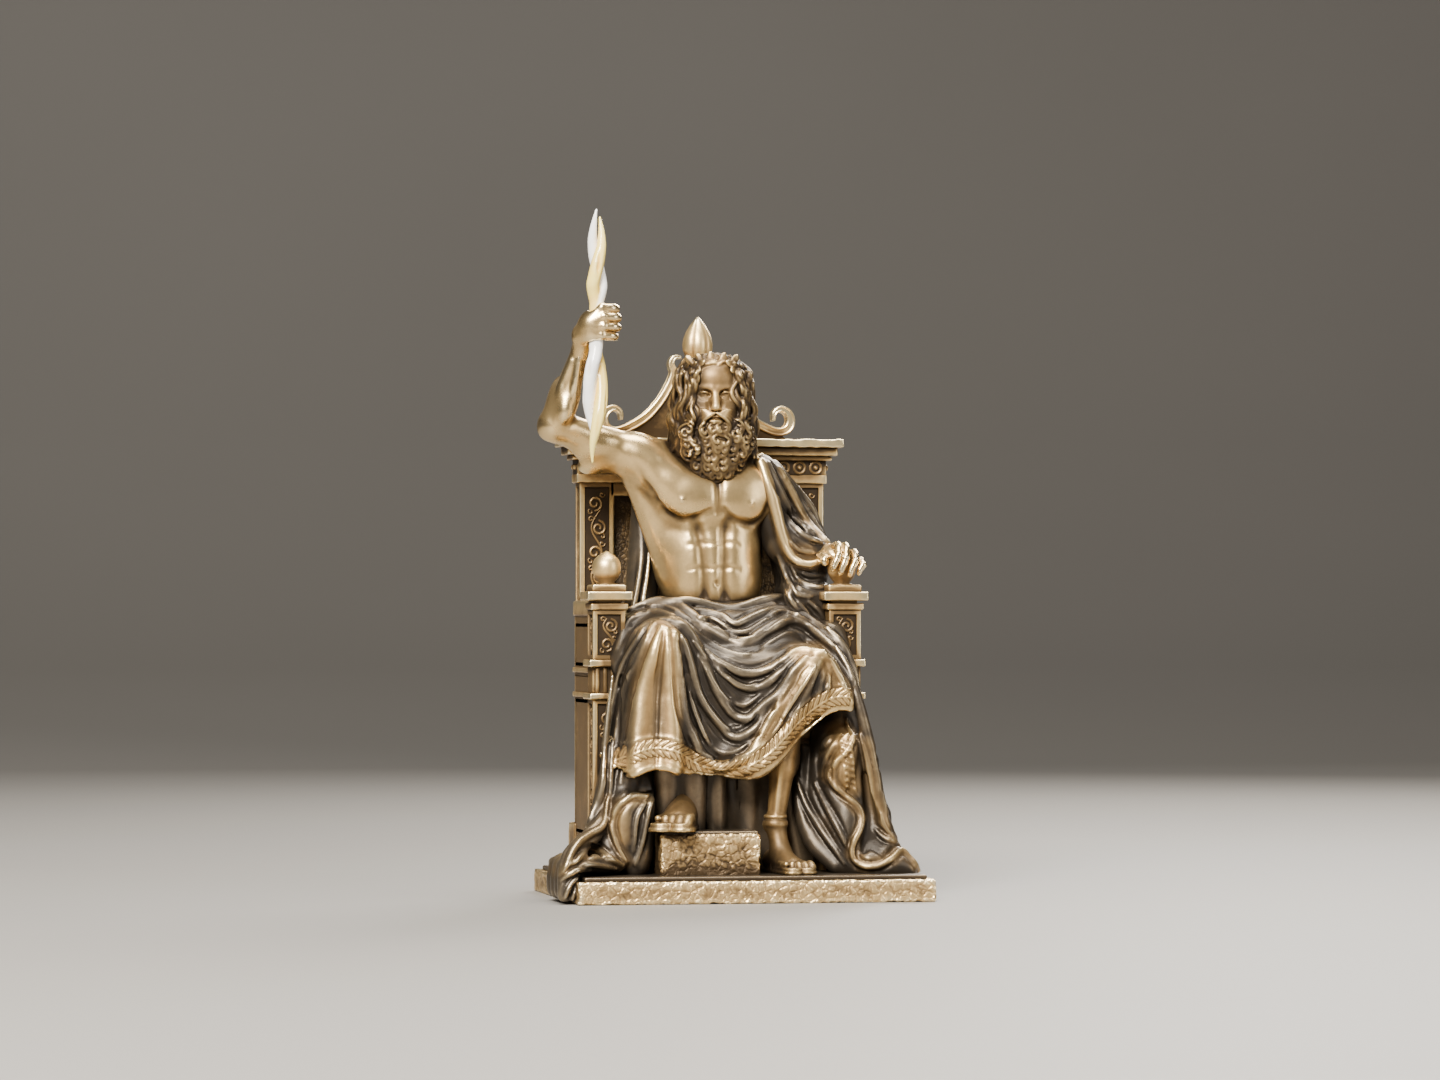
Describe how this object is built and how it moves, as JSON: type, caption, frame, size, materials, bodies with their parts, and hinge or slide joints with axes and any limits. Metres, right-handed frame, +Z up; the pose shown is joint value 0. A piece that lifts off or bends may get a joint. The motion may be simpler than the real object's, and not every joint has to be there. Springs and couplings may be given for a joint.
{
  "type": "seated god statuette",
  "caption": "Cold-cast bronze statuette of a bearded god seated on a panelled throne, draped cloak, one foot on a stool, raising a twisted thunderbolt.",
  "frame": {"origin": "on the slab's underside, below the middle of the throne's seat, between the arm posts", "axes": "+Z up along the height, the figure looks towards -Y, +X is to the viewer's right"},
  "size_m": [0.1424, 0.106, 0.26],
  "materials": {
    "antique_bronze": "cold-cast bronze, dark in the hollows, rubbed bright on the ridges",
    "bolt_paint": "gloss paint, one strand white and one golden yellow"
  },
  "bodies": {
    "root": {"statue": "antique_bronze", "thunderbolt": "bolt_paint"}
  },
  "joints": []
}
